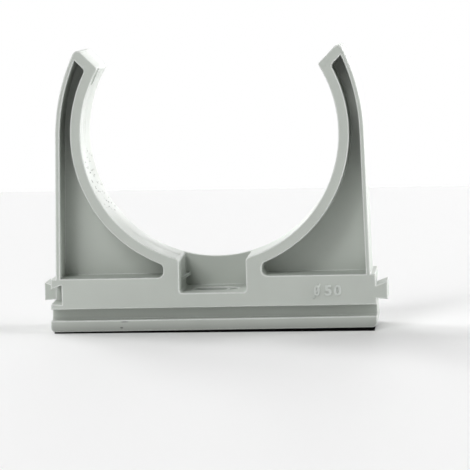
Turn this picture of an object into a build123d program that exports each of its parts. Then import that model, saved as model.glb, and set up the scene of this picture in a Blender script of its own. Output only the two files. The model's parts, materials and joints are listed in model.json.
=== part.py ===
"""Snap-in clip for a round conduit: one moulded piece on a flat base.

Frame: X along the base, Y along the conduit, Z up. The origin is the centre of the base's underside.
The open side of the pocket is the front, at the lowest Y. All sizes are in millimetres and degrees.
"""
import math
import os

from build123d import *

# Driving dimensions of the cradle and its arms
conduit_diameter = 50.0
clip_depth = 16.0
cradle_wall = 2.05
seat_rise = 2.7
tip_angle = 31.7
lead_in_angle = 45.0
tip_top_radius = 1.05
tip_inner_radius = 0.6

# Driving dimensions of the outer walls and the recesses between them and the cradle
outer_wall = 0.86
arm_gap = 2.04
arm_lean = 1.4
shoulder_radius = 39.2
web_thickness = 1.4
recess_corner_radius = 1.2
recess_top_radius = 0.9
moulding_draft = 0.7
edge_break = 0.15

# Driving dimensions of the base
base_height = 10.4
ledge_width = 0.97
end_draft = 1.3
base_corner_radius = 1.0
groove_bottom = 2.25
groove_height = 2.2
groove_depth = 2.6

# Driving dimensions of the pocket that holds the fixing screw
pocket_width = 13.0
pocket_sink = 3.1
pocket_wall = 3.1
pocket_rear_wall = 0.9
pocket_corner_radius = 0.5
pocket_mouth_radius = 0.9
slot_length = 9.0
slot_width = 5.8
nib_height = 2.6
nib_thickness = 0.6
nib_reach = 0.85
nib_length = 9.4

# Driving dimensions of the dovetails that join neighbouring clips
dovetail_over = 1.37
dovetail_under = 1.03
dovetail_reach = 2.08
dovetail_upper_flare = 20.0
dovetail_lower_flare = 5.0
dovetail_clearance = 0.08
dovetail_end_room = 0.2

# Sizes and places that follow from the driving dimensions
cradle_radius = conduit_diameter / 2
cradle_outer = cradle_radius + cradle_wall
cradle_height = base_height + seat_rise + cradle_radius
front = -clip_depth / 2
back = clip_depth / 2
lean = math.radians(arm_lean)
shoulder_x = cradle_radius + cradle_wall + arm_gap + outer_wall
foot_x = shoulder_x + (cradle_height - base_height) * math.tan(lean)
base_top_end = foot_x + ledge_width
base_end = base_top_end + base_height * math.tan(math.radians(end_draft))
recess_end = pocket_width / 2 + pocket_wall
recess_end_height = cradle_height - math.sqrt(cradle_outer**2 - recess_end**2) - base_height
recess_depth = (clip_depth - web_thickness) / 2
pocket_back = back - pocket_rear_wall
pocket_floor = base_height - pocket_sink
pocket_mouth_height = cradle_height - math.sqrt(cradle_radius**2 - (pocket_width / 2) ** 2)
groove_top = groove_bottom + groove_height
dovetail_top = base_height - dovetail_over
dovetail_bottom = groove_top + dovetail_under
dovetail_height = (dovetail_top + dovetail_bottom) / 2
lead_in_corner = Vector(
    cradle_radius * math.cos(math.radians(tip_angle)),
    cradle_height + cradle_radius * math.sin(math.radians(tip_angle)),
)

# Room for cutting shapes to run past the solid, and for added ones to run into it
past = 1.0
reach_all = 4 * (cradle_height + cradle_radius)
arc_past_tip = 20.0

# How near a vertex or face lies to the place it is looked for, and how much of a wall a fillet may take
near = 0.05
fillet_share = 0.45


def arm_region(inset):
    """Right half of the region inside the outer wall's surface, moved inwards by inset."""
    inward = Vector(-math.cos(lean), -math.sin(lean))
    upward = Vector(-math.sin(lean), math.cos(lean))
    shoulder = Vector(shoulder_x, cradle_height) + inward * inset
    arc_centre = Vector(shoulder_x, cradle_height) + inward * shoulder_radius
    foot = shoulder - upward * (cradle_height / math.cos(lean))
    arc = CenterArc(arc_centre, shoulder_radius - inset, arm_lean, tip_angle + arc_past_tip)
    top = arc @ 1
    rest = Polyline(top, (0, top.Y), (0, foot.Y), foot, shoulder)
    return make_face(Curve() + [arc, rest])


def below_lead_in(inset):
    """Region on the arm's side of the slanted tip face, moved into the arm by inset."""
    slab = Rectangle(reach_all, reach_all, align=(Align.CENTER, Align.MAX))
    return Pos(lead_in_corner) * Rot(0, 0, lead_in_angle) * Pos(0, -inset) * slab


def corner_at(sketch, place):
    """Vertices of the sketch that lie on the given place."""
    return [v for v in sketch.vertices() if (Vector(v) - Vector(place)).length < near]


def body_section():
    """Whole front view of the clip, with the cradle cut out and its tips rounded."""
    ends = Polyline((0, 0), (base_end, 0), (base_top_end, base_height), (0, base_height), close=True)
    half_base = make_face(ends)
    bore = Pos(0, cradle_height) * Circle(cradle_radius)
    half = (arm_region(0) & below_lead_in(0)) + half_base - bore
    tip_top = half.vertices().sort_by(Axis.Y)[-1]
    half = fillet([tip_top], tip_top_radius)
    half = fillet(corner_at(half, lead_in_corner), tip_inner_radius)
    half = fillet(corner_at(half, (base_end, 0)), base_corner_radius)
    return half + mirror(half, about=Plane.YZ)


def recess_section():
    """Front view of the recess in the right arm, between the cradle's wall and the outer wall."""
    inside = arm_region(outer_wall) & below_lead_in(cradle_wall)
    above_base = Pos(recess_end, base_height) * Rectangle(reach_all, reach_all, align=(Align.MIN, Align.MIN))
    cradle = Pos(0, cradle_height) * Circle(cradle_outer)
    recess = (inside & above_base) - cradle
    end_corners = [v for v in recess.vertices() if abs(v.X - recess_end) < near]
    recess = fillet(end_corners, min(recess_corner_radius, fillet_share * recess_end_height))
    top_corners = recess.vertices().filter_by(lambda v: v.Y > cradle_height).sort_by(Axis.X)
    return fillet([top_corners[0]], recess_top_radius)


def front_plane(y):
    """Plane of the front view at a given Y, facing forwards."""
    return Plane(origin=(0, y, 0), x_dir=(1, 0, 0), z_dir=(0, -1, 0))


def arm_recesses():
    """The four recesses that leave one web in the middle of each arm."""
    cut = extrude(front_plane(front) * recess_section(), -recess_depth, taper=moulding_draft)
    cuts = [cut, mirror(cut, about=Plane.YZ)]
    return cuts + [mirror(one, about=Plane.XZ) for one in cuts]


def pocket():
    """Pocket in the middle of the base, open to the front and up into the cradle."""
    height = cradle_height - pocket_floor
    outline = Pos(0, pocket_floor) * Rectangle(pocket_width, height, align=(Align.CENTER, Align.MIN))
    outline = outline + Pos(0, cradle_height) * Circle(cradle_radius)
    for side in (-pocket_width / 2, pocket_width / 2):
        outline = fillet(corner_at(outline, (side, pocket_floor)), pocket_corner_radius)
        outline = fillet(corner_at(outline, (side, pocket_mouth_height)), pocket_mouth_radius)
    return extrude(front_plane(front) * outline, -(pocket_back - front))


def screw_slot():
    """Slot for the fixing screw, through the floor of the pocket."""
    opening = Pos(0, 0, -past) * SlotOverall(slot_length, slot_width)
    return extrude(opening, pocket_floor + 2 * past)


def grooves():
    """Grooves along the foot of the base's front and rear faces."""
    size = (2 * (base_end + past), groove_depth + past, groove_height)
    cut = Pos(0, front + groove_depth, groove_bottom) * Box(*size, align=(Align.CENTER, Align.MAX, Align.MIN))
    return [cut, mirror(cut, about=Plane.XZ)]


def nibs():
    """Two small barbs on the pocket's sides, growing towards its rear wall."""
    side = pocket_width / 2
    start = pocket_back - nib_length
    rear = pocket_back + pocket_rear_wall / 2
    plan = Polyline(
        (side, start),
        (side - nib_reach, pocket_back),
        (side - nib_reach, rear),
        (side + past, rear),
        (side + past, start),
        close=True,
    )
    top = pocket_floor + nib_height
    nib = extrude(Pos(0, 0, top - nib_thickness) * make_face(plan), nib_thickness)
    return [nib, mirror(nib, about=Plane.YZ)]


def flank_heights(flare, side_room, reach):
    """Distances of a flank's root and tip from the dovetail's middle height, on a profile of that reach."""
    slope = math.tan(math.radians(flare))
    at_tip = (dovetail_top - dovetail_bottom) / 2 + side_room * math.hypot(1, slope)
    tip = at_tip + slope * (reach - dovetail_reach)
    return tip - slope * (reach + past), tip


def dovetail_profile(side_room, end_room):
    """Front view of a dovetail on the right end, with room added at its flanks and its tip."""
    reach = dovetail_reach + end_room
    upper_root, upper_tip = flank_heights(dovetail_upper_flare, side_room, reach)
    lower_root, lower_tip = flank_heights(dovetail_lower_flare, side_room, reach)
    outline = Polyline(
        (-past, -lower_root),
        (reach, -lower_tip),
        (reach, upper_tip),
        (-past, upper_root),
        close=True,
    )
    return make_face(outline)


def dovetail_tongues():
    """Tongues on the front half of the right end and on the rear half of the left end."""
    place = Pos(base_end, dovetail_height)
    profile = dovetail_profile(0, 0)
    tongue = extrude(front_plane(front) * place * profile, -(clip_depth / 2 - dovetail_clearance))
    return [tongue, Rot(0, 0, 180) * tongue]


def dovetail_sockets():
    """Sockets on the front half of the left end and on the rear half of the right end."""
    place = Pos(-base_end, dovetail_height)
    profile = dovetail_profile(dovetail_clearance, dovetail_end_room)
    socket = extrude(front_plane(front - past) * place * profile, -(clip_depth / 2 + past))
    return [socket, Rot(0, 0, 180) * socket]


def with_soft_edges(body):
    """The body with the edges of its front and rear faces broken."""
    for y in (front, back):
        flats = [f for f in body.faces() if abs(f.center().Y - y) < near and f.geom_type == GeomType.PLANE]
        body = chamfer([edge for flat in flats for edge in flat.edges()], edge_break)
    return body


def conduit_clip():
    """The whole clip as one solid."""
    body = extrude(front_plane(0) * body_section(), clip_depth / 2, both=True)
    cuts = arm_recesses() + [pocket()] + grooves() + dovetail_sockets()
    body = body - cuts
    body = body + nibs() + dovetail_tongues()
    return with_soft_edges(body) - screw_slot()


clip = conduit_clip()
os.makedirs("parts", exist_ok=True)
export_step(clip, "parts/conduit_clip.step")
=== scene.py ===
"""Looks of the conduit clip: the moulded body with its parting seam and size mark, in a plain studio.

Sizes are in metres unless a name says otherwise. X runs along the base, Y along the conduit with the
open side of the pocket at the lowest Y, and Z up. The CAD frame gives every place.
"""
import json
import logging
import math
from dataclasses import dataclass
from enum import Enum

import bmesh
import bpy
from mathutils import Matrix, Vector, noise

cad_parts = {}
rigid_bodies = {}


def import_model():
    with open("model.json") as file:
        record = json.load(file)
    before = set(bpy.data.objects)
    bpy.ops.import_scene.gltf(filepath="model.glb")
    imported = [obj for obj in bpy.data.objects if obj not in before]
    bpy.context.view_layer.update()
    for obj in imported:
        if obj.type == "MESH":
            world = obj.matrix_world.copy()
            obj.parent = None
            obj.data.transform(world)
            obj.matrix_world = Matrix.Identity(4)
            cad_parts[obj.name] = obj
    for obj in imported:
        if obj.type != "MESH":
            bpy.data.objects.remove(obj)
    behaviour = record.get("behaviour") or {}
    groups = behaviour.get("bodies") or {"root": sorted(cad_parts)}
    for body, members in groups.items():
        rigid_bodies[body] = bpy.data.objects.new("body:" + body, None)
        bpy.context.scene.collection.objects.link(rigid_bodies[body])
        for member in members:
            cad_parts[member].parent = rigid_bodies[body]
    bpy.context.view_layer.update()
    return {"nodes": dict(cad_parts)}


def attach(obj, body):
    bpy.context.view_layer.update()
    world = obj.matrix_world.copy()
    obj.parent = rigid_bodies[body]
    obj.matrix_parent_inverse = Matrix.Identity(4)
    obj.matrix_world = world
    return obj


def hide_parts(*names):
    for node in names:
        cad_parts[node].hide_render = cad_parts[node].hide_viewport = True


MM = 0.001
MERGE_DISTANCE = 0.002 * MM
BODY = "root"
CLIP_NODE = "conduit_clip"

Colour = tuple[float, float, float, float]

log = logging.getLogger("conduit_clip")


@dataclass(frozen=True)
class ClipSizes:
    """Sizes and places of the CAD part that the added pieces sit on."""

    conduit_radius: float = 25.0 * MM
    cradle_height: float = 38.1 * MM
    front: float = -8.0 * MM
    pocket_floor: float = 7.30 * MM


CLIP = ClipSizes()


class Side(Enum):
    """Arm of the clip, by the sign of its X."""

    LEFT = -1
    RIGHT = 1


class TreeKind(Enum):
    """Kind of a node group, by the type name of its tree."""

    SHADER = "ShaderNodeTree"
    GEOMETRY = "GeometryNodeTree"


def grey(level: float, red: float = 0.0, green: float = 0.0, blue: float = 0.0) -> Colour:
    """Linear RGBA of a grey with small shares added to its channels."""
    return (level + red, level + green, level + blue, 1.0)


def shaded(colour: Colour, factor: float) -> Colour:
    """The colour with its channels multiplied by a factor."""
    return (colour[0] * factor, colour[1] * factor, colour[2] * factor, 1.0)


def new_object(name: str, data: bpy.types.ID) -> bpy.types.Object:
    """Make an object at the origin and link it to the scene.

    Args:
        name: Name of the object.
        data: Mesh or curve that it shows.

    Returns:
        The object.
    """
    piece = bpy.data.objects.new(name, data)
    bpy.context.scene.collection.objects.link(piece)
    return piece


def on_clip(piece: bpy.types.Object) -> bpy.types.Object:
    """Let a piece ride with the clip.

    Args:
        piece: The piece.

    Returns:
        The same piece.
    """
    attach(piece, BODY)
    return piece


def closed(mesh: bpy.types.Mesh, merge_distance: float = 0.0001 * MM) -> bpy.types.Mesh:
    """Join doubled vertices and turn all faces outwards.

    Args:
        mesh: The mesh, changed in place.
        merge_distance: How near two vertices lie to be one.

    Returns:
        The same mesh.
    """
    shape = bmesh.new()
    shape.from_mesh(mesh)
    bmesh.ops.remove_doubles(shape, verts=shape.verts, dist=merge_distance)
    bmesh.ops.recalc_face_normals(shape, faces=shape.faces)
    for face in shape.faces:
        face.smooth = True
    open_edges = sum(1 for edge in shape.edges if len(edge.link_faces) != 2)
    log.info("%s: %d faces, %d open edges", mesh.name, len(shape.faces), open_edges)
    shape.to_mesh(mesh)
    shape.free()
    return mesh


def baked(
    name: str,
    tree: bpy.types.NodeTree,
    values: dict[str, object],
    source: bpy.types.Mesh,
) -> bpy.types.Object:
    """Run a Geometry Nodes tree once and keep its result as a plain piece.

    Args:
        name: Name of the piece.
        tree: The tree.
        values: Value of each input, by its name.
        source: Mesh that the tree starts from.

    Returns:
        The piece, without any modifier.
    """
    carrier = new_object(name + "_source", source)
    modifier = carrier.modifiers.new(tree.name, "NODES")
    modifier.node_group = tree
    for item in tree.interface.items_tree:
        if item.in_out == "INPUT" and item.name in values:
            modifier[item.identifier] = values[item.name]
    evaluated = carrier.evaluated_get(bpy.context.evaluated_depsgraph_get())
    mesh = bpy.data.meshes.new_from_object(evaluated)
    mesh.name = name
    bpy.data.objects.remove(carrier)
    bpy.data.meshes.remove(source)
    return on_clip(new_object(name, closed(mesh)))


def new_group(
    name: str,
    kind: TreeKind,
    inputs: dict[str, tuple[str, object]],
    outputs: dict[str, str],
) -> bpy.types.NodeTree:
    """Make a node group with its sockets.

    Args:
        name: Name of the group.
        kind: Whether it is for shaders or for geometry.
        inputs: Socket type and default value of each input, by its name.
        outputs: Socket type of each output, by its name.

    Returns:
        The group, with one input node and one output node.
    """
    group = bpy.data.node_groups.new(name, kind.value)
    for label, (socket_type, value) in inputs.items():
        socket = group.interface.new_socket(label, in_out="INPUT", socket_type=socket_type)
        if value is not None:
            socket.default_value = value
    for label, socket_type in outputs.items():
        group.interface.new_socket(label, in_out="OUTPUT", socket_type=socket_type)
    group.nodes.new("NodeGroupInput")
    group.nodes.new("NodeGroupOutput")
    return group


class Wiring:
    """Adds nodes to a tree and joins them."""

    def __init__(self, tree: bpy.types.NodeTree) -> None:
        """Keep the tree that the nodes go into."""
        self.tree = tree

    def add(self, kind: str, **settings: object) -> bpy.types.Node:
        """Add a node.

        Args:
            kind: The node's type.
            settings: Attributes to set on the node.

        Returns:
            The node.
        """
        node = self.tree.nodes.new(kind)
        for label, value in settings.items():
            setattr(node, label, value)
        return node

    def feed(self, socket: bpy.types.NodeSocket, source: object) -> None:
        """Join a source to a socket, or set the socket's own value.

        Args:
            socket: The input socket.
            source: An output socket, or a plain value.
        """
        if isinstance(source, bpy.types.NodeSocket):
            self.tree.links.new(source, socket)
        else:
            socket.default_value = source

    def maths(
        self,
        operation: str,
        first: object,
        second: object = 0.0,
        clamp: bool = False,
    ) -> bpy.types.NodeSocket:
        """Add a Math node.

        Args:
            operation: Name of the operation.
            first: First operand.
            second: Second operand.
            clamp: Whether the result is kept between 0 and 1.

        Returns:
            The result's socket.
        """
        node = self.add("ShaderNodeMath", operation=operation, use_clamp=clamp)
        self.feed(node.inputs[0], first)
        self.feed(node.inputs[1], second)
        return node.outputs[0]

    def ramp(
        self,
        value: object,
        low: object,
        high: object,
        at_low: float = 0.0,
        at_high: float = 1.0,
    ) -> bpy.types.NodeSocket:
        """Add a smooth Map Range node.

        Args:
            value: The value that is mapped.
            low: Where the range starts.
            high: Where the range ends.
            at_low: Result at the start.
            at_high: Result at the end.

        Returns:
            The result's socket.
        """
        node = self.add("ShaderNodeMapRange", interpolation_type="SMOOTHSTEP")
        for socket, source in zip(node.inputs, (value, low, high, at_low, at_high)):
            self.feed(socket, source)
        return node.outputs[0]

    def mix(self, share: object, first: object, second: object) -> bpy.types.NodeSocket:
        """Add a colour Mix node.

        Args:
            share: Share of the second colour.
            first: First colour.
            second: Second colour.

        Returns:
            The mixed colour's socket.
        """
        node = self.add("ShaderNodeMix", data_type="RGBA")
        self.feed(node.inputs[0], share)
        self.feed(node.inputs[6], first)
        self.feed(node.inputs[7], second)
        return node.outputs[2]

    def between(self, share: object, first: object, second: object) -> bpy.types.NodeSocket:
        """Add a number Mix node.

        Args:
            share: Share of the second number.
            first: First number.
            second: Second number.

        Returns:
            The mixed number's socket.
        """
        node = self.add("ShaderNodeMix", data_type="FLOAT")
        self.feed(node.inputs[0], share)
        self.feed(node.inputs[2], first)
        self.feed(node.inputs[3], second)
        return node.outputs[0]

    def random(self, low: object, high: object, seed: int) -> bpy.types.NodeSocket:
        """Add a Random Value node with a fixed seed.

        Args:
            low: Lowest value.
            high: Highest value.
            seed: The seed.

        Returns:
            The value's socket.
        """
        node = self.add("FunctionNodeRandomValue", data_type="FLOAT")
        self.feed(node.inputs[2], low)
        self.feed(node.inputs[3], high)
        node.inputs["Seed"].default_value = seed
        return node.outputs[1]

    def finish_geometry(
        self,
        geometry: bpy.types.NodeSocket,
        finish: bpy.types.NodeSocket,
        result: bpy.types.Node,
    ) -> None:
        """Make instances real, set their material and put them out.

        Args:
            geometry: Socket of the geometry.
            finish: Socket of the material.
            result: The tree's output node.
        """
        real = self.add("GeometryNodeRealizeInstances")
        self.feed(real.inputs["Geometry"], geometry)
        dressed = self.add("GeometryNodeSetMaterial")
        self.feed(dressed.inputs["Geometry"], real.outputs["Geometry"])
        self.feed(dressed.inputs["Material"], finish)
        self.feed(result.inputs["Geometry"], dressed.outputs["Geometry"])


@dataclass
class SharedEffects:
    """Shader node groups that the finishes share."""

    grain_detail: float = 3.0
    cloud_detail: float = 4.0
    openness_samples: int = 6

    def __post_init__(self) -> None:
        """Build each group once."""
        self.grain = self.moulding_grain()
        self.edge_highlight = self.edge_painted_highlight()
        self.recess_shade = self.recess_painted_shade()
        self.foot = self.foot_painted_shade()

    def moulding_grain(self) -> bpy.types.NodeTree:
        """Group for the fine grain of the mould's surface and the plastic's uneven shade.

        Returns:
            The group, which puts out a height and a shade from 0 to 1.
        """
        inputs = {
            "Place": ("NodeSocketVector", None),
            "Grain Scale": ("NodeSocketFloat", 2600.0),
            "Cloud Scale": ("NodeSocketFloat", 120.0),
        }
        outputs = {"Height": "NodeSocketFloat", "Shade": "NodeSocketFloat"}
        group = new_group("moulding_grain", TreeKind.SHADER, inputs, outputs)
        wiring = Wiring(group)
        source, result = group.nodes[0], group.nodes[1]
        fine = wiring.add("ShaderNodeTexNoise")
        wiring.feed(fine.inputs["Vector"], source.outputs["Place"])
        wiring.feed(fine.inputs["Scale"], source.outputs["Grain Scale"])
        fine.inputs["Detail"].default_value = self.grain_detail
        cloud = wiring.add("ShaderNodeTexNoise")
        wiring.feed(cloud.inputs["Vector"], source.outputs["Place"])
        wiring.feed(cloud.inputs["Scale"], source.outputs["Cloud Scale"])
        cloud.inputs["Detail"].default_value = self.cloud_detail
        wiring.feed(result.inputs["Height"], fine.outputs["Fac"])
        wiring.feed(result.inputs["Shade"], cloud.outputs["Fac"])
        return group

    def edge_painted_highlight(self) -> bpy.types.NodeTree:
        """Group that finds the edges from the gap between the plain and the rounded normal.

        The edges get a painted highlight.

        Returns:
            The group, which puts out a mask that is 1 on the sharpest edges.
        """
        inputs = {"Rounded Normal": ("NodeSocketVector", None), "Reach": ("NodeSocketFloat", 0.04)}
        group = new_group("edge_painted_highlight", TreeKind.SHADER, inputs, {"Mask": "NodeSocketFloat"})
        wiring = Wiring(group)
        source, result = group.nodes[0], group.nodes[1]
        geometry = wiring.add("ShaderNodeNewGeometry")
        product = wiring.add("ShaderNodeVectorMath", operation="DOT_PRODUCT")
        wiring.feed(product.inputs[0], geometry.outputs["Normal"])
        wiring.feed(product.inputs[1], source.outputs["Rounded Normal"])
        turned = wiring.maths("SUBTRACT", 1.0, product.outputs["Value"])
        mask = wiring.maths("DIVIDE", turned, source.outputs["Reach"], clamp=True)
        wiring.feed(result.inputs["Mask"], mask)
        return group

    def recess_painted_shade(self) -> bpy.types.NodeTree:
        """Group that finds the narrow recesses, which get painted shade, and the places that lie open.

        Returns:
            The group, which puts out a mask that is 1 in the narrowest places, and one that is 1 in the open.
        """
        inputs = {
            "Reach": ("NodeSocketFloat", 4.0 * MM),
            "Narrow": ("NodeSocketFloat", 0.2),
            "Wide": ("NodeSocketFloat", 0.55),
            "Sheltered": ("NodeSocketFloat", 0.35),
            "Exposed": ("NodeSocketFloat", 0.60),
        }
        outputs = {"Mask": "NodeSocketFloat", "Open": "NodeSocketFloat"}
        group = new_group("recess_painted_shade", TreeKind.SHADER, inputs, outputs)
        wiring = Wiring(group)
        source, result = group.nodes[0], group.nodes[1]
        openness = wiring.add("ShaderNodeAmbientOcclusion", samples=self.openness_samples)
        wiring.feed(openness.inputs["Distance"], source.outputs["Reach"])
        share = openness.outputs["AO"]
        mask = wiring.ramp(share, source.outputs["Narrow"], source.outputs["Wide"], 1.0, 0.0)
        in_the_open = wiring.ramp(share, source.outputs["Sheltered"], source.outputs["Exposed"])
        wiring.feed(result.inputs["Mask"], mask)
        wiring.feed(result.inputs["Open"], in_the_open)
        return group

    def foot_painted_shade(self) -> bpy.types.NodeTree:
        """Group that finds the foot of the base, for painted shade that is darker towards the bottom.

        Returns:
            The group, which puts out a mask that is 1 at the underside.
        """
        inputs = {"Place": ("NodeSocketVector", None), "Height": ("NodeSocketFloat", 2.9 * MM)}
        group = new_group("foot_painted_shade", TreeKind.SHADER, inputs, {"Mask": "NodeSocketFloat"})
        wiring = Wiring(group)
        source, result = group.nodes[0], group.nodes[1]
        parts = wiring.add("ShaderNodeSeparateXYZ")
        wiring.feed(parts.inputs[0], source.outputs["Place"])
        share = wiring.maths("DIVIDE", parts.outputs["Z"], source.outputs["Height"], clamp=True)
        wiring.feed(result.inputs["Mask"], wiring.maths("SUBTRACT", 1.0, share))
        return group


@dataclass(frozen=True)
class MouldedPlastic:
    """Satin moulded plastic with a fine grain and clouded tone.

    Its edges get painted highlights; its narrow recesses and its foot get painted shade.
    """

    effects: SharedEffects
    name: str = "moulded_grey_plastic"
    colour: Colour = grey(0.527, green=0.033, blue=-0.008)
    # Colour of the painted edge highlight.
    edge_highlight_colour: Colour = grey(0.93, green=0.01)
    # Colour of the painted shade in the recesses and at the foot.
    painted_shade_colour: Colour = grey(0.10, blue=-0.01)
    roughness: float = 0.42
    roughness_spread: float = 0.10
    cloud_share: float = 0.05
    cloud_ends: tuple[float, float] = (0.3, 0.7)
    grain_depth: float = 0.004 * MM
    edge_round: float = 0.34 * MM
    edge_samples: int = 6
    recess_shade_share: float = 0.22
    foot_shade_share: float = 0.55

    def material(self) -> bpy.types.Material:
        """Build the material.

        Returns:
            The material with all its nodes.
        """
        material = bpy.data.materials.new(self.name)
        material.use_nodes = True
        wiring = Wiring(material.node_tree)
        shader = material.node_tree.nodes["Principled BSDF"]
        place = wiring.add("ShaderNodeTexCoord").outputs["Object"]
        grain = wiring.add("ShaderNodeGroup", node_tree=self.effects.grain)
        wiring.feed(grain.inputs["Place"], place)
        rounded = wiring.add("ShaderNodeBevel", samples=self.edge_samples)
        rounded.inputs["Radius"].default_value = self.edge_round
        shade = grain.outputs["Shade"]
        colour = self.surface_colour(wiring, place, shade, rounded.outputs["Normal"])
        wiring.feed(shader.inputs["Base Color"], colour)
        low = self.roughness - self.roughness_spread / 2
        high = self.roughness + self.roughness_spread / 2
        wiring.feed(shader.inputs["Roughness"], wiring.ramp(shade, *self.cloud_ends, low, high))
        bump = wiring.add("ShaderNodeBump")
        bump.inputs["Distance"].default_value = self.grain_depth
        wiring.feed(bump.inputs["Height"], grain.outputs["Height"])
        wiring.feed(bump.inputs["Normal"], rounded.outputs["Normal"])
        wiring.feed(shader.inputs["Normal"], bump.outputs["Normal"])
        return material

    def surface_colour(
        self,
        wiring: Wiring,
        place: bpy.types.NodeSocket,
        shade: bpy.types.NodeSocket,
        rounded_normal: bpy.types.NodeSocket,
    ) -> bpy.types.NodeSocket:
        """Mix the clouded colour with painted recess and foot shade and painted edge highlights.

        Args:
            wiring: Wiring of the material's tree.
            place: Place on the piece.
            shade: The plastic's uneven shade.
            rounded_normal: Normal with the edges rounded.

        Returns:
            The colour's socket.
        """
        edge_highlight = wiring.add("ShaderNodeGroup", node_tree=self.effects.edge_highlight)
        wiring.feed(edge_highlight.inputs["Rounded Normal"], rounded_normal)
        recess_shade = wiring.add("ShaderNodeGroup", node_tree=self.effects.recess_shade)
        foot = wiring.add("ShaderNodeGroup", node_tree=self.effects.foot)
        wiring.feed(foot.inputs["Place"], place)
        dark = shaded(self.colour, 1 - self.cloud_share)
        light = shaded(self.colour, 1 + self.cloud_share)
        clouded = wiring.mix(shade, dark, light)
        # Painted shade: the narrow recesses are darkened.
        in_recess = wiring.maths("MULTIPLY", recess_shade.outputs["Mask"], self.recess_shade_share)
        recess_shaded = wiring.mix(in_recess, clouded, self.painted_shade_colour)
        # Painted shade: the foot of the base is darker towards the bottom.
        at_foot = wiring.maths("MULTIPLY", foot.outputs["Mask"], self.foot_shade_share)
        foot_shaded = wiring.mix(at_foot, recess_shaded, self.painted_shade_colour)
        # Painted highlight: edges in open places are lightened almost to white.
        on_edge = wiring.maths("MULTIPLY", edge_highlight.outputs["Mask"], recess_shade.outputs["Open"])
        return wiring.mix(on_edge, foot_shaded, self.edge_highlight_colour)


class Scuff(Enum):
    """Kind of rough finish, by its colour: pale for tears and painted highlights, dark for dirt and painted
    shade.
    """

    TORN_AND_HIGHLIGHT = grey(0.62, green=0.03)
    DIRT_AND_SHADE = grey(0.16, green=0.01)


@dataclass(frozen=True)
class ScuffedPlastic:
    """The same plastic, rougher: paler for tears and painted highlights, darker for dirt and painted shade.
    """

    effects: SharedEffects
    kind: Scuff
    roughness: float = 0.6
    grain_depth: float = 0.02 * MM

    def material(self) -> bpy.types.Material:
        """Build the material.

        Returns:
            The material with all its nodes.
        """
        material = bpy.data.materials.new(self.kind.name.lower() + "_plastic")
        material.use_nodes = True
        wiring = Wiring(material.node_tree)
        shader = material.node_tree.nodes["Principled BSDF"]
        shader.inputs["Base Color"].default_value = self.kind.value
        shader.inputs["Roughness"].default_value = self.roughness
        grain = wiring.add("ShaderNodeGroup", node_tree=self.effects.grain)
        wiring.feed(grain.inputs["Place"], wiring.add("ShaderNodeTexCoord").outputs["Object"])
        bump = wiring.add("ShaderNodeBump")
        bump.inputs["Distance"].default_value = self.grain_depth
        wiring.feed(bump.inputs["Height"], grain.outputs["Height"])
        wiring.feed(shader.inputs["Normal"], bump.outputs["Normal"])
        return material


@dataclass
class ClipBody:
    """The moulded clip itself, dressed on a merged copy of the CAD node's mesh."""

    node: bpy.types.Object
    plastic: bpy.types.Material
    sharp_angle: float = math.radians(52)
    flat_angle: float = math.radians(0.2)
    large_face_weight: int = 100

    def build(self) -> bpy.types.Object:
        """Build the body.

        Returns:
            The piece that stands for the CAD node.
        """
        mesh = self.node.data.copy()
        mesh.name = "clip_body"
        piece = new_object("clip_body", mesh)
        self.merge(mesh)
        mesh.materials.clear()
        mesh.materials.append(self.plastic)
        weighted = piece.modifiers.new("face_weighted_normals", "WEIGHTED_NORMAL")
        weighted.keep_sharp = True
        weighted.weight = self.large_face_weight
        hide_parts(CLIP_NODE)
        return on_clip(piece)

    def merge(self, mesh: bpy.types.Mesh) -> None:
        """Join the loose triangles into whole flat faces and mark the edges that stay sharp.

        Args:
            mesh: The copied mesh, changed in place.
        """
        shape = bmesh.new()
        shape.from_mesh(mesh)
        bmesh.ops.remove_doubles(shape, verts=shape.verts, dist=MERGE_DISTANCE)
        bmesh.ops.dissolve_degenerate(shape, edges=shape.edges, dist=MERGE_DISTANCE)
        bmesh.ops.dissolve_limit(shape, angle_limit=self.flat_angle, verts=[], edges=shape.edges)
        for face in shape.faces:
            face.smooth = True
        for edge in shape.edges:
            edge.smooth = len(edge.link_faces) == 2 and edge.calc_face_angle() < self.sharp_angle
        open_edges = sum(1 for edge in shape.edges if len(edge.link_faces) != 2)
        log.info("clip body: %d faces, %d open edges", len(shape.faces), open_edges)
        shape.to_mesh(mesh)
        shape.free()
        if "custom_normal" in mesh.attributes:
            mesh.attributes.remove(mesh.attributes["custom_normal"])


@dataclass(frozen=True)
class CradleRidge:
    """A fine ridge on the cradle's inner face, between two places given by their angles and depths.

    The angles count upwards in degrees from the cradle's widest place. Only what stands out of the wall
    shows.
    """

    name: str
    side: Side
    angles: tuple[float, float]
    depths: tuple[float, float]
    width: float
    height: float


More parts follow.
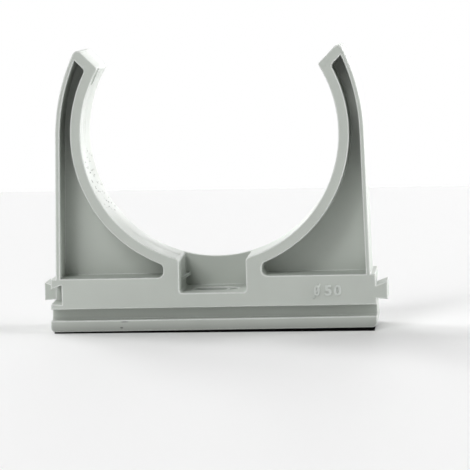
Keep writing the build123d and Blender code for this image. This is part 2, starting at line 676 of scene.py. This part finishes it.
@dataclass
class CradleMarks:
    """Flash at the tips, drag lines and scars on the cradle's inner face, and the specks between them.

    The specks' angles count upwards in degrees from the cradle's widest place.
    """

    plastic: bpy.types.Material
    dirt_and_shade: bpy.types.Material
    points_along: int = 24
    points_round: int = 12
    end_share: float = 0.45
    flash: tuple[CradleRidge, ...] = (
        CradleRidge("tip_flash_left", Side.LEFT, (31.6, 23.4), (-6.1 * MM, -4.8 * MM), 0.44 * MM, 0.28 * MM),
        CradleRidge("tip_flash_right", Side.RIGHT, (31.6, 26.0), (-0.4 * MM, 0.3 * MM), 0.22 * MM, 0.10 * MM),
    )
    lines: tuple[CradleRidge, ...] = (
        CradleRidge("drag_line_left", Side.LEFT, (23.0, -4.0), (-4.6 * MM, -0.2 * MM), 0.16 * MM, 0.05 * MM),
        CradleRidge(
            "drag_line_left_low", Side.LEFT, (12.0, -5.0), (-6.8 * MM, -2.3 * MM), 0.14 * MM, 0.04 * MM
        ),
        CradleRidge("drag_line_right", Side.RIGHT, (20.0, -8.0), (2.6 * MM, 1.2 * MM), 0.14 * MM, 0.04 * MM),
    )
    scars: tuple[CradleRidge, ...] = (
        CradleRidge("scar_left", Side.LEFT, (-19.6, -22.4), (-4.9 * MM, -4.2 * MM), 0.40 * MM, 0.08 * MM),
        CradleRidge("scar_left_rear", Side.LEFT, (-21.6, -23.6), (1.3 * MM, 2.3 * MM), 0.28 * MM, 0.06 * MM),
    )
    speck_seed: int = 7
    speck_count: int = 70
    speck_radius: float = 0.09 * MM
    speck_sink: float = 0.05 * MM
    speck_scales: tuple[float, float] = (0.7, 1.7)
    speck_angles: tuple[float, float] = (-38.0, -6.0)
    speck_depth: float = 6.2 * MM
    speck_subdivisions: int = 2

    def build(self) -> list[bpy.types.Object]:
        """Build all marks.

        Returns:
            The pieces.
        """
        tree = self.ridge_tree()
        pieces = [self.ridge(tree, one, self.plastic) for one in self.flash + self.lines]
        pieces += [self.ridge(tree, one, self.dirt_and_shade) for one in self.scars]
        pieces.append(self.specks())
        return pieces

    def ridge(
        self,
        tree: bpy.types.NodeTree,
        ridge: CradleRidge,
        finish: bpy.types.Material,
    ) -> bpy.types.Object:
        """Build one ridge.

        Args:
            tree: The ridge tree.
            ridge: Place and size of the ridge.
            finish: Material of the ridge.

        Returns:
            The piece.
        """
        bead = (ridge.width**2 / 4 + ridge.height**2) / (2 * ridge.height)
        values = {
            "Side": float(ridge.side.value),
            "Path Radius": CLIP.conduit_radius + bead - ridge.height,
            "Cradle Height": CLIP.cradle_height,
            "Start Angle": math.radians(ridge.angles[0]),
            "End Angle": math.radians(ridge.angles[1]),
            "Start Depth": ridge.depths[0],
            "End Depth": ridge.depths[1],
            "Bead Radius": bead,
            "Finish": finish,
        }
        return baked(ridge.name, tree, values, bpy.data.meshes.new(ridge.name + "_start"))

    def ridge_tree(self) -> bpy.types.NodeTree:
        """Geometry Nodes tree of a bead that follows the cradle and thins out at both ends.

        Returns:
            The tree.
        """
        inputs = {
            "Geometry": ("NodeSocketGeometry", None),
            "Side": ("NodeSocketFloat", 1.0),
            "Path Radius": ("NodeSocketFloat", 0.0),
            "Cradle Height": ("NodeSocketFloat", 0.0),
            "Start Angle": ("NodeSocketFloat", 0.0),
            "End Angle": ("NodeSocketFloat", 0.0),
            "Start Depth": ("NodeSocketFloat", 0.0),
            "End Depth": ("NodeSocketFloat", 0.0),
            "Bead Radius": ("NodeSocketFloat", 0.0),
            "Finish": ("NodeSocketMaterial", None),
        }
        tree = new_group("cradle_ridge", TreeKind.GEOMETRY, inputs, {"Geometry": "NodeSocketGeometry"})
        wiring = Wiring(tree)
        source, result = tree.nodes[0], tree.nodes[1]
        line = wiring.add("GeometryNodeCurvePrimitiveLine")
        points = wiring.add("GeometryNodeResampleCurve")
        wiring.feed(points.inputs["Curve"], line.outputs["Curve"])
        points.inputs["Count"].default_value = self.points_along
        along = wiring.add("GeometryNodeSplineParameter").outputs["Factor"]
        angle = wiring.between(along, source.outputs["Start Angle"], source.outputs["End Angle"])
        depth = wiring.between(along, source.outputs["Start Depth"], source.outputs["End Depth"])
        path = wiring.add("GeometryNodeSetPosition")
        wiring.feed(path.inputs["Geometry"], points.outputs["Curve"])
        wiring.feed(path.inputs["Position"], self.on_cradle(wiring, source, angle, depth))
        swell = wiring.maths("SINE", wiring.maths("MULTIPLY", along, math.pi))
        swelling = wiring.maths("MULTIPLY", swell, 1 - self.end_share)
        profile = wiring.add("GeometryNodeCurvePrimitiveCircle")
        profile.inputs["Resolution"].default_value = self.points_round
        wiring.feed(profile.inputs["Radius"], source.outputs["Bead Radius"])
        bead = wiring.add("GeometryNodeCurveToMesh")
        wiring.feed(bead.inputs["Curve"], path.outputs["Geometry"])
        wiring.feed(bead.inputs["Profile Curve"], profile.outputs["Curve"])
        wiring.feed(bead.inputs["Scale"], wiring.maths("ADD", swelling, self.end_share))
        bead.inputs["Fill Caps"].default_value = True
        wiring.finish_geometry(bead.outputs["Mesh"], source.outputs["Finish"], result)
        return tree

    def on_cradle(
        self,
        wiring: Wiring,
        source: bpy.types.Node,
        angle: bpy.types.NodeSocket,
        depth: bpy.types.NodeSocket,
    ) -> bpy.types.NodeSocket:
        """Work out the place on the cradle that lies at an angle and a depth.

        Args:
            wiring: Wiring of the tree.
            source: The tree's input node, with the side, the path's radius and the cradle's height.
            angle: Angle above the cradle's widest place, in radians.
            depth: Place along the conduit.

        Returns:
            The place's socket.
        """
        path_radius = source.outputs["Path Radius"]
        across = wiring.maths("MULTIPLY", wiring.maths("COSINE", angle), path_radius)
        rise = wiring.maths("MULTIPLY", wiring.maths("SINE", angle), path_radius)
        place = wiring.add("ShaderNodeCombineXYZ")
        wiring.feed(place.inputs["X"], wiring.maths("MULTIPLY", across, source.outputs["Side"]))
        wiring.feed(place.inputs["Y"], depth)
        wiring.feed(place.inputs["Z"], wiring.maths("ADD", rise, source.outputs["Cradle Height"]))
        return place.outputs[0]

    def specks(self) -> bpy.types.Object:
        """Build the specks on the left side of the cradle's inner face.

        Returns:
            The piece.
        """
        values = {
            "Side": float(Side.LEFT.value),
            "Path Radius": CLIP.conduit_radius + self.speck_sink,
            "Cradle Height": CLIP.cradle_height,
            "Lowest Angle": math.radians(self.speck_angles[0]),
            "Highest Angle": math.radians(self.speck_angles[1]),
            "Nearest Depth": -self.speck_depth,
            "Farthest Depth": self.speck_depth,
            "Count": self.speck_count,
            "Speck Radius": self.speck_radius,
            "Finish": self.dirt_and_shade,
        }
        return baked("cradle_specks", self.speck_tree(), values, bpy.data.meshes.new("cradle_specks_start"))

    def speck_tree(self) -> bpy.types.NodeTree:
        """Geometry Nodes tree that scatters small balls over one side of the cradle.

        Returns:
            The tree.
        """
        inputs = {
            "Geometry": ("NodeSocketGeometry", None),
            "Side": ("NodeSocketFloat", 1.0),
            "Path Radius": ("NodeSocketFloat", 0.0),
            "Cradle Height": ("NodeSocketFloat", 0.0),
            "Lowest Angle": ("NodeSocketFloat", 0.0),
            "Highest Angle": ("NodeSocketFloat", 0.0),
            "Nearest Depth": ("NodeSocketFloat", 0.0),
            "Farthest Depth": ("NodeSocketFloat", 0.0),
            "Count": ("NodeSocketInt", 1),
            "Speck Radius": ("NodeSocketFloat", 0.0),
            "Finish": ("NodeSocketMaterial", None),
        }
        tree = new_group("cradle_specks", TreeKind.GEOMETRY, inputs, {"Geometry": "NodeSocketGeometry"})
        wiring = Wiring(tree)
        source, result = tree.nodes[0], tree.nodes[1]
        sizes = source.outputs
        angle = wiring.random(sizes["Lowest Angle"], sizes["Highest Angle"], self.speck_seed)
        depth = wiring.random(sizes["Nearest Depth"], sizes["Farthest Depth"], self.speck_seed + 1)
        spread = wiring.add("GeometryNodePoints")
        wiring.feed(spread.inputs["Count"], sizes["Count"])
        wiring.feed(spread.inputs["Position"], self.on_cradle(wiring, source, angle, depth))
        ball = wiring.add("GeometryNodeMeshIcoSphere")
        wiring.feed(ball.inputs["Radius"], sizes["Speck Radius"])
        ball.inputs["Subdivisions"].default_value = self.speck_subdivisions
        scatter = wiring.add("GeometryNodeInstanceOnPoints")
        wiring.feed(scatter.inputs["Points"], spread.outputs[0])
        wiring.feed(scatter.inputs["Instance"], ball.outputs["Mesh"])
        wiring.feed(scatter.inputs["Scale"], wiring.random(*self.speck_scales, self.speck_seed + 2))
        wiring.finish_geometry(scatter.outputs["Instances"], sizes["Finish"], result)
        return tree


@dataclass
class PartingSeam:
    """Fine seam where the mould's halves met, round the arms at the middle of the depth."""

    node: bpy.types.Object
    finish: bpy.types.Material
    depth: float = 0.02 * MM
    lowest: float = 10.9 * MM
    bead_radius: float = 0.018 * MM
    points_round: int = 8

    def build(self) -> bpy.types.Object:
        """Build the seam along the outline that a plane cuts out of the clip.

        Returns:
            The piece.
        """
        values = {"Bead Radius": self.bead_radius, "Finish": self.finish}
        return baked("parting_seam", self.seam_tree(), values, self.outline())

    def outline(self) -> bpy.types.Mesh:
        """Cut the clip's outline above the base.

        Returns:
            A mesh of edges alone.
        """
        shape = bmesh.new()
        shape.from_mesh(self.node.data)
        bmesh.ops.remove_doubles(shape, verts=shape.verts, dist=MERGE_DISTANCE)
        everything = shape.verts[:] + shape.edges[:] + shape.faces[:]
        cut = bmesh.ops.bisect_plane(shape, geom=everything, plane_co=(0, self.depth, 0), plane_no=(0, 1, 0))
        kept = {part for part in cut["geom_cut"] if isinstance(part, bmesh.types.BMEdge)}
        kept = {edge for edge in kept if all(vert.co.z > self.lowest for vert in edge.verts)}
        bmesh.ops.delete(shape, geom=shape.faces[:], context="FACES_ONLY")
        bmesh.ops.delete(shape, geom=[edge for edge in shape.edges if edge not in kept], context="EDGES")
        bmesh.ops.delete(shape, geom=[vert for vert in shape.verts if not vert.link_edges], context="VERTS")
        mesh = bpy.data.meshes.new("seam_outline")
        shape.to_mesh(mesh)
        shape.free()
        return mesh

    def seam_tree(self) -> bpy.types.NodeTree:
        """Geometry Nodes tree that lays a round bead on each line of the outline.

        Returns:
            The tree.
        """
        inputs = {
            "Geometry": ("NodeSocketGeometry", None),
            "Bead Radius": ("NodeSocketFloat", 0.0),
            "Finish": ("NodeSocketMaterial", None),
        }
        tree = new_group("parting_seam", TreeKind.GEOMETRY, inputs, {"Geometry": "NodeSocketGeometry"})
        wiring = Wiring(tree)
        source, result = tree.nodes[0], tree.nodes[1]
        path = wiring.add("GeometryNodeMeshToCurve")
        wiring.feed(path.inputs["Mesh"], source.outputs["Geometry"])
        profile = wiring.add("GeometryNodeCurvePrimitiveCircle")
        profile.inputs["Resolution"].default_value = self.points_round
        wiring.feed(profile.inputs["Radius"], source.outputs["Bead Radius"])
        bead = wiring.add("GeometryNodeCurveToMesh")
        wiring.feed(bead.inputs["Curve"], path.outputs["Curve"])
        wiring.feed(bead.inputs["Profile Curve"], profile.outputs["Curve"])
        bead.inputs["Fill Caps"].default_value = True
        wiring.finish_geometry(bead.outputs["Mesh"], source.outputs["Finish"], result)
        return tree


@dataclass(frozen=True)
class Glyph:
    """One character of the size mark, where it starts on the front face and how wide it is."""

    character: str
    left: float
    width: float


@dataclass
class SizeMark:
    """Raised size on the base's front face: a diameter sign and the conduit's diameter in millimetres.

    The diameter sign is the first glyph with a slash across it. Its paler strokes are a painted highlight.
    """

    finish: bpy.types.Material
    glyphs: tuple[Glyph, ...] = (
        Glyph("0", 19.62 * MM, 1.15 * MM),
        Glyph("5", 21.65 * MM, 1.45 * MM),
        Glyph("0", 23.50 * MM, 1.40 * MM),
    )
    foot: float = 6.30 * MM
    height: float = 2.10 * MM
    relief: float = 0.30 * MM
    extrude_share: float = 0.05
    bevel_share: float = 0.04
    slash_low: tuple[float, float] = (19.50 * MM, 5.75 * MM)
    slash_high: tuple[float, float] = (20.85 * MM, 8.70 * MM)
    slash_width: float = 0.30 * MM
    slash_relief: float = 0.15 * MM

    def build(self) -> bpy.types.Object:
        """Build the mark.

        Returns:
            The piece.
        """
        shape = bmesh.new()
        for glyph in self.glyphs:
            mesh = self.glyph_mesh(glyph)
            shape.from_mesh(mesh)
            bpy.data.meshes.remove(mesh)
        self.add_slash(shape)
        mesh = bpy.data.meshes.new("size_mark")
        shape.to_mesh(mesh)
        shape.free()
        mesh.materials.append(self.finish)
        return on_clip(new_object("size_mark", closed(mesh)))

    def add_slash(self, shape: bmesh.types.BMesh) -> None:
        """Add the slash of the diameter sign, a plain bar that is lower than the glyphs.

        Args:
            shape: The mark's mesh, which the bar is added to.
        """
        low, high = Vector(self.slash_low), Vector(self.slash_high)
        along = (high - low) / 2
        across = Vector((-along.y, along.x)).normalized() * self.slash_width / 2
        for vertex in bmesh.ops.create_cube(shape, size=2.0)["verts"]:
            place = (low + high) / 2 + along * vertex.co.z + across * vertex.co.x
            vertex.co = (place.x, CLIP.front + self.slash_relief * vertex.co.y, place.y)

    def glyph_mesh(self, glyph: Glyph) -> bpy.types.Mesh:
        """Make one character and fit it to its place, half of its thickness sunk into the face.

        Args:
            glyph: The character and its place.

        Returns:
            The character's mesh in place.
        """
        text = bpy.data.curves.new("glyph", "FONT")
        text.body = glyph.character
        text.extrude = self.extrude_share
        text.bevel_depth = self.bevel_share
        text.bevel_resolution = 1
        carrier = new_object("glyph", text)
        evaluated = carrier.evaluated_get(bpy.context.evaluated_depsgraph_get())
        mesh = bpy.data.meshes.new_from_object(evaluated)
        bpy.data.objects.remove(carrier)
        bpy.data.curves.remove(text)
        places = [vertex.co.copy() for vertex in mesh.vertices]
        lowest = [min(place[axis] for place in places) for axis in range(3)]
        highest = [max(place[axis] for place in places) for axis in range(3)]
        for vertex in mesh.vertices:
            across, rise, out = (
                (vertex.co[axis] - lowest[axis]) / (highest[axis] - lowest[axis])
                for axis in range(3)
            )
            vertex.co = (
                glyph.left + glyph.width * across,
                CLIP.front + self.relief - 2 * self.relief * out,
                self.foot + self.height * rise,
            )
        return mesh


@dataclass(frozen=True)
class Lump:
    """A small rounded lump, by its middle and its half sizes."""

    name: str
    middle: tuple[float, float, float]
    half_size: tuple[float, float, float]


@dataclass
class SmallDamage:
    """Burr on the rim of the screw slot, and dark lumps on the lip along the foot, a painted shade of nicks.
    """

    torn_and_highlight: bpy.types.Material
    dirt_and_shade: bpy.types.Material
    unevenness: float = 0.25
    dent_scale: float = 1.7
    dent_shift: float = 400.0
    subdivisions: int = 3
    burrs: tuple[Lump, ...] = (
        Lump("slot_burr", (2.75 * MM, -2.95 * MM, CLIP.pocket_floor), (0.34 * MM, 0.20 * MM, 0.34 * MM)),
    )
    # Painted shade: flat dark lumps stand for the shade inside nicks.
    nick_shades: tuple[Lump, ...] = (
        Lump("lip_nick_shade_long", (-17.35 * MM, CLIP.front, 1.86 * MM), (0.75 * MM, 0.03 * MM, 0.09 * MM)),
        Lump("lip_nick_shade_low", (-17.95 * MM, CLIP.front, 0.72 * MM), (0.30 * MM, 0.03 * MM, 0.16 * MM)),
    )

    def build(self) -> list[bpy.types.Object]:
        """Build the burr and the dark lumps of painted nick shade.

        Returns:
            The pieces.
        """
        pieces = [self.lump(one, self.torn_and_highlight) for one in self.burrs]
        return pieces + [self.lump(one, self.dirt_and_shade) for one in self.nick_shades]

    def lump(self, lump: Lump, finish: bpy.types.Material) -> bpy.types.Object:
        """Build one uneven lump.

        Args:
            lump: Its place and size.
            finish: Its material.

        Returns:
            The piece.
        """
        shape = bmesh.new()
        bmesh.ops.create_icosphere(shape, subdivisions=self.subdivisions, radius=1.0)
        middle = Vector(lump.middle)
        for vertex in shape.verts:
            dent = noise.noise(vertex.co * self.dent_scale + middle * self.dent_shift)
            vertex.co = middle + Vector(lump.half_size) * (vertex.co * (1 + self.unevenness * dent))
        mesh = bpy.data.meshes.new(lump.name)
        shape.to_mesh(mesh)
        shape.free()
        mesh.materials.append(finish)
        return on_clip(new_object(lump.name, closed(mesh)))


@dataclass(frozen=True)
class SoftSun:
    """A distant soft lamp, placed by the direction that its light comes from."""

    name: str
    azimuth: float
    elevation: float
    level: float
    spread: float = 24.0

    def build(self) -> bpy.types.Object:
        """Build the lamp.

        Returns:
            The lamp's object.
        """
        turn = math.radians(self.azimuth)
        rise = math.radians(self.elevation)
        towards = Vector((math.sin(turn) * math.cos(rise), -math.cos(turn) * math.cos(rise), math.sin(rise)))
        lamp = bpy.data.lights.new(self.name, "SUN")
        lamp.energy = self.level * math.pi
        lamp.angle = math.radians(self.spread)
        holder = bpy.data.objects.new(self.name, lamp)
        holder.rotation_mode = "QUATERNION"
        holder.rotation_quaternion = (-towards).to_track_quat("-Z", "Y")
        bpy.context.scene.collection.objects.link(holder)
        return holder


@dataclass
class Studio:
    """Pale table, white background and soft lamps.

    The azimuth of a lamp is 0 at the camera's side, 90 at the right and 180 behind the clip.
    """

    matt_roughness: float = 0.6
    table_level: float = 0.90
    table_gloss: float = 0.5
    table_half_width: float = 2.0
    table_far_edge: float = 0.37
    table_near_edge: float = -0.8
    table_drop: float = 0.46 * MM
    table_tilt: float = 0.0065
    # Size and darkness of the black sheet of painted contact shadow under the clip.
    shadow_sheet_half_length: float = 31.2 * MM
    shadow_sheet_half_depth: float = 7.75 * MM
    shadow_sheet_gap: float = 0.02 * MM
    shadow_sheet_level: float = 0.004
    shadow_sheet_gloss: float = 0.0
    lamps: tuple[SoftSun, ...] = (
        SoftSun("low_right", 90, 8, 1.00, 50.0),
        SoftSun("left_behind", -120, 32, 0.40),
        SoftSun("high_left_behind", -150, 32, 0.222),
        SoftSun("front_left", -30, 32, 0.195),
        SoftSun("low_left_behind", -150, 8, 0.194),
        SoftSun("right", 90, 32, 0.177),
        SoftSun("low_behind", 168, 0, 0.20, 36.0),
        SoftSun("front_high", -20, 42, 0.158, 14.0),
        SoftSun("low_left", -90, 8, 0.09),
        SoftSun("front", -15, 18, 0.078, 14.0),
    )

    def build(self) -> None:
        """Build the table, the world and the lamps."""
        self.table()
        # Painted shadow: a black sheet under the clip.
        self.shadow_sheet()
        self.world()
        for lamp in self.lamps:
            lamp.build()
            log.info("lamp %s built", lamp.name)

    def table(self) -> bpy.types.Object:
        """Build the table top, a little lower at the right because the clip stands on its left end.

        Returns:
            The table's object.
        """
        mesh = bpy.data.meshes.new("table_top")
        corners = [
            (-self.table_half_width, self.table_near_edge),
            (self.table_half_width, self.table_near_edge),
            (self.table_half_width, self.table_far_edge),
            (-self.table_half_width, self.table_far_edge),
        ]
        mesh.from_pydata([(x, y, self.table_height(x)) for x, y in corners], [], [(0, 1, 2, 3)])
        table = new_object("table_top", mesh)
        mesh.materials.append(self.plain_material("pale_table", self.table_level, self.table_gloss))
        return table

    def table_height(self, x: float) -> float:
        """Height of the table top at an X."""
        return -self.table_drop - self.table_tilt * x

    def shadow_sheet(self) -> bpy.types.Object:
        """Build the thin black sheet that fills the gap between the clip and the table, a painted contact
        shadow.

        Returns:
            The sheet's object.
        """
        shape = bmesh.new()
        bmesh.ops.create_cube(shape, size=2.0)
        for vertex in shape.verts:
            across, along, rise = vertex.co
            x = across * self.shadow_sheet_half_length
            height = -self.shadow_sheet_gap if rise > 0 else self.table_height(x)
            vertex.co = (x, along * self.shadow_sheet_half_depth, height)
        mesh = bpy.data.meshes.new("contact_shadow_sheet")
        shape.to_mesh(mesh)
        shape.free()
        mesh.materials.append(self.plain_material("painted_shadow_black", self.shadow_sheet_level, self.shadow_sheet_gloss))
        shadow_sheet = new_object("contact_shadow_sheet", mesh)
        return shadow_sheet

    def plain_material(self, name: str, level: float, gloss: float) -> bpy.types.Material:
        """Make a plain matt grey material.

        Args:
            name: Name of the material.
            level: Linear level of its grey.
            gloss: Level of its reflections.

        Returns:
            The material.
        """
        material = bpy.data.materials.new(name)
        material.use_nodes = True
        shader = material.node_tree.nodes["Principled BSDF"]
        shader.inputs["Base Color"].default_value = grey(level)
        shader.inputs["Roughness"].default_value = self.matt_roughness
        shader.inputs["Specular IOR Level"].default_value = gloss
        return material

    def world(self) -> None:
        """Make a world that is white where it is seen or mirrored, and gives no light."""
        world = bpy.data.worlds.new("studio_world")
        world.use_nodes = True
        wiring = Wiring(world.node_tree)
        world.node_tree.nodes.clear()
        paths = wiring.add("ShaderNodeLightPath")
        rays = paths.outputs
        mirrored = wiring.maths("MAXIMUM", rays["Is Glossy Ray"], rays["Is Transmission Ray"])
        seen = wiring.maths("MAXIMUM", rays["Is Camera Ray"], mirrored)
        background = wiring.add("ShaderNodeBackground")
        background.inputs["Color"].default_value = grey(1.0)
        wiring.feed(background.inputs["Strength"], seen)
        out = wiring.add("ShaderNodeOutputWorld")
        wiring.feed(out.inputs["Surface"], background.outputs[0])
        bpy.context.scene.world = world


@dataclass(frozen=True)
class PhotoCamera:
    """The camera at the photograph's viewing angle, with its angles in radians."""

    eye: tuple[float, float, float] = (48.97 * MM, -604.29 * MM, 70.90 * MM)
    yaw: float = 0.0743
    pitch: float = 0.0875
    roll: float = 0.0246
    focal_pixels: float = 3100.0
    frame_pixels: float = 470.0
    sensor_mm: float = 36.0
    nearest: float = 0.01
    farthest: float = 10.0

    def build(self) -> bpy.types.Object:
        """Build the camera and make it the scene's.

        Returns:
            The camera's object.
        """
        forward = Vector(
            (
                -math.sin(self.yaw) * math.cos(self.pitch),
                math.cos(self.yaw) * math.cos(self.pitch),
                -math.sin(self.pitch),
            )
        )
        level_right = Vector((math.cos(self.yaw), math.sin(self.yaw), 0))
        level_down = forward.cross(level_right)
        right = level_right * math.cos(self.roll) + level_down * math.sin(self.roll)
        up = level_right * math.sin(self.roll) - level_down * math.cos(self.roll)
        data = bpy.data.cameras.new("photo_camera")
        data.sensor_width = self.sensor_mm
        data.lens = self.focal_pixels / self.frame_pixels * self.sensor_mm
        data.clip_start = self.nearest
        data.clip_end = self.farthest
        camera = bpy.data.objects.new("photo_camera", data)
        turn = Matrix((right, up, -forward)).transposed().to_4x4()
        camera.matrix_world = Matrix.Translation(self.eye) @ turn
        bpy.context.scene.collection.objects.link(camera)
        bpy.context.scene.camera = camera
        return camera


def corners(box: tuple[Vector, Vector]) -> list[list[float]]:
    """Lowest and highest corner of a box as plain lists."""
    return [list(corner) for corner in box]


def main() -> None:
    """Build the clip and its studio."""
    logging.basicConfig(level=logging.INFO, format="%(name)s: %(message)s")
    for start in list(bpy.data.objects):
        bpy.data.objects.remove(start)
    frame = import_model()
    effects = SharedEffects()
    plastic = MouldedPlastic(effects).material()
    torn_and_highlight = ScuffedPlastic(effects, Scuff.TORN_AND_HIGHLIGHT).material()
    dirt_and_shade = ScuffedPlastic(effects, Scuff.DIRT_AND_SHADE).material()
    node = frame["nodes"][CLIP_NODE]
    # The size mark takes the pale finish: a painted highlight on its strokes.
    pieces = [ClipBody(node, plastic).build(), PartingSeam(node, plastic).build(), SizeMark(torn_and_highlight).build()]
    pieces += CradleMarks(plastic, dirt_and_shade).build()
    pieces += SmallDamage(torn_and_highlight, dirt_and_shade).build()
    for piece in pieces:
        log.info("%s built", piece.name)
    Studio().build()
    PhotoCamera().build()
    bpy.context.scene.view_settings.view_transform = "Standard"


if __name__ == "__main__":
    main()
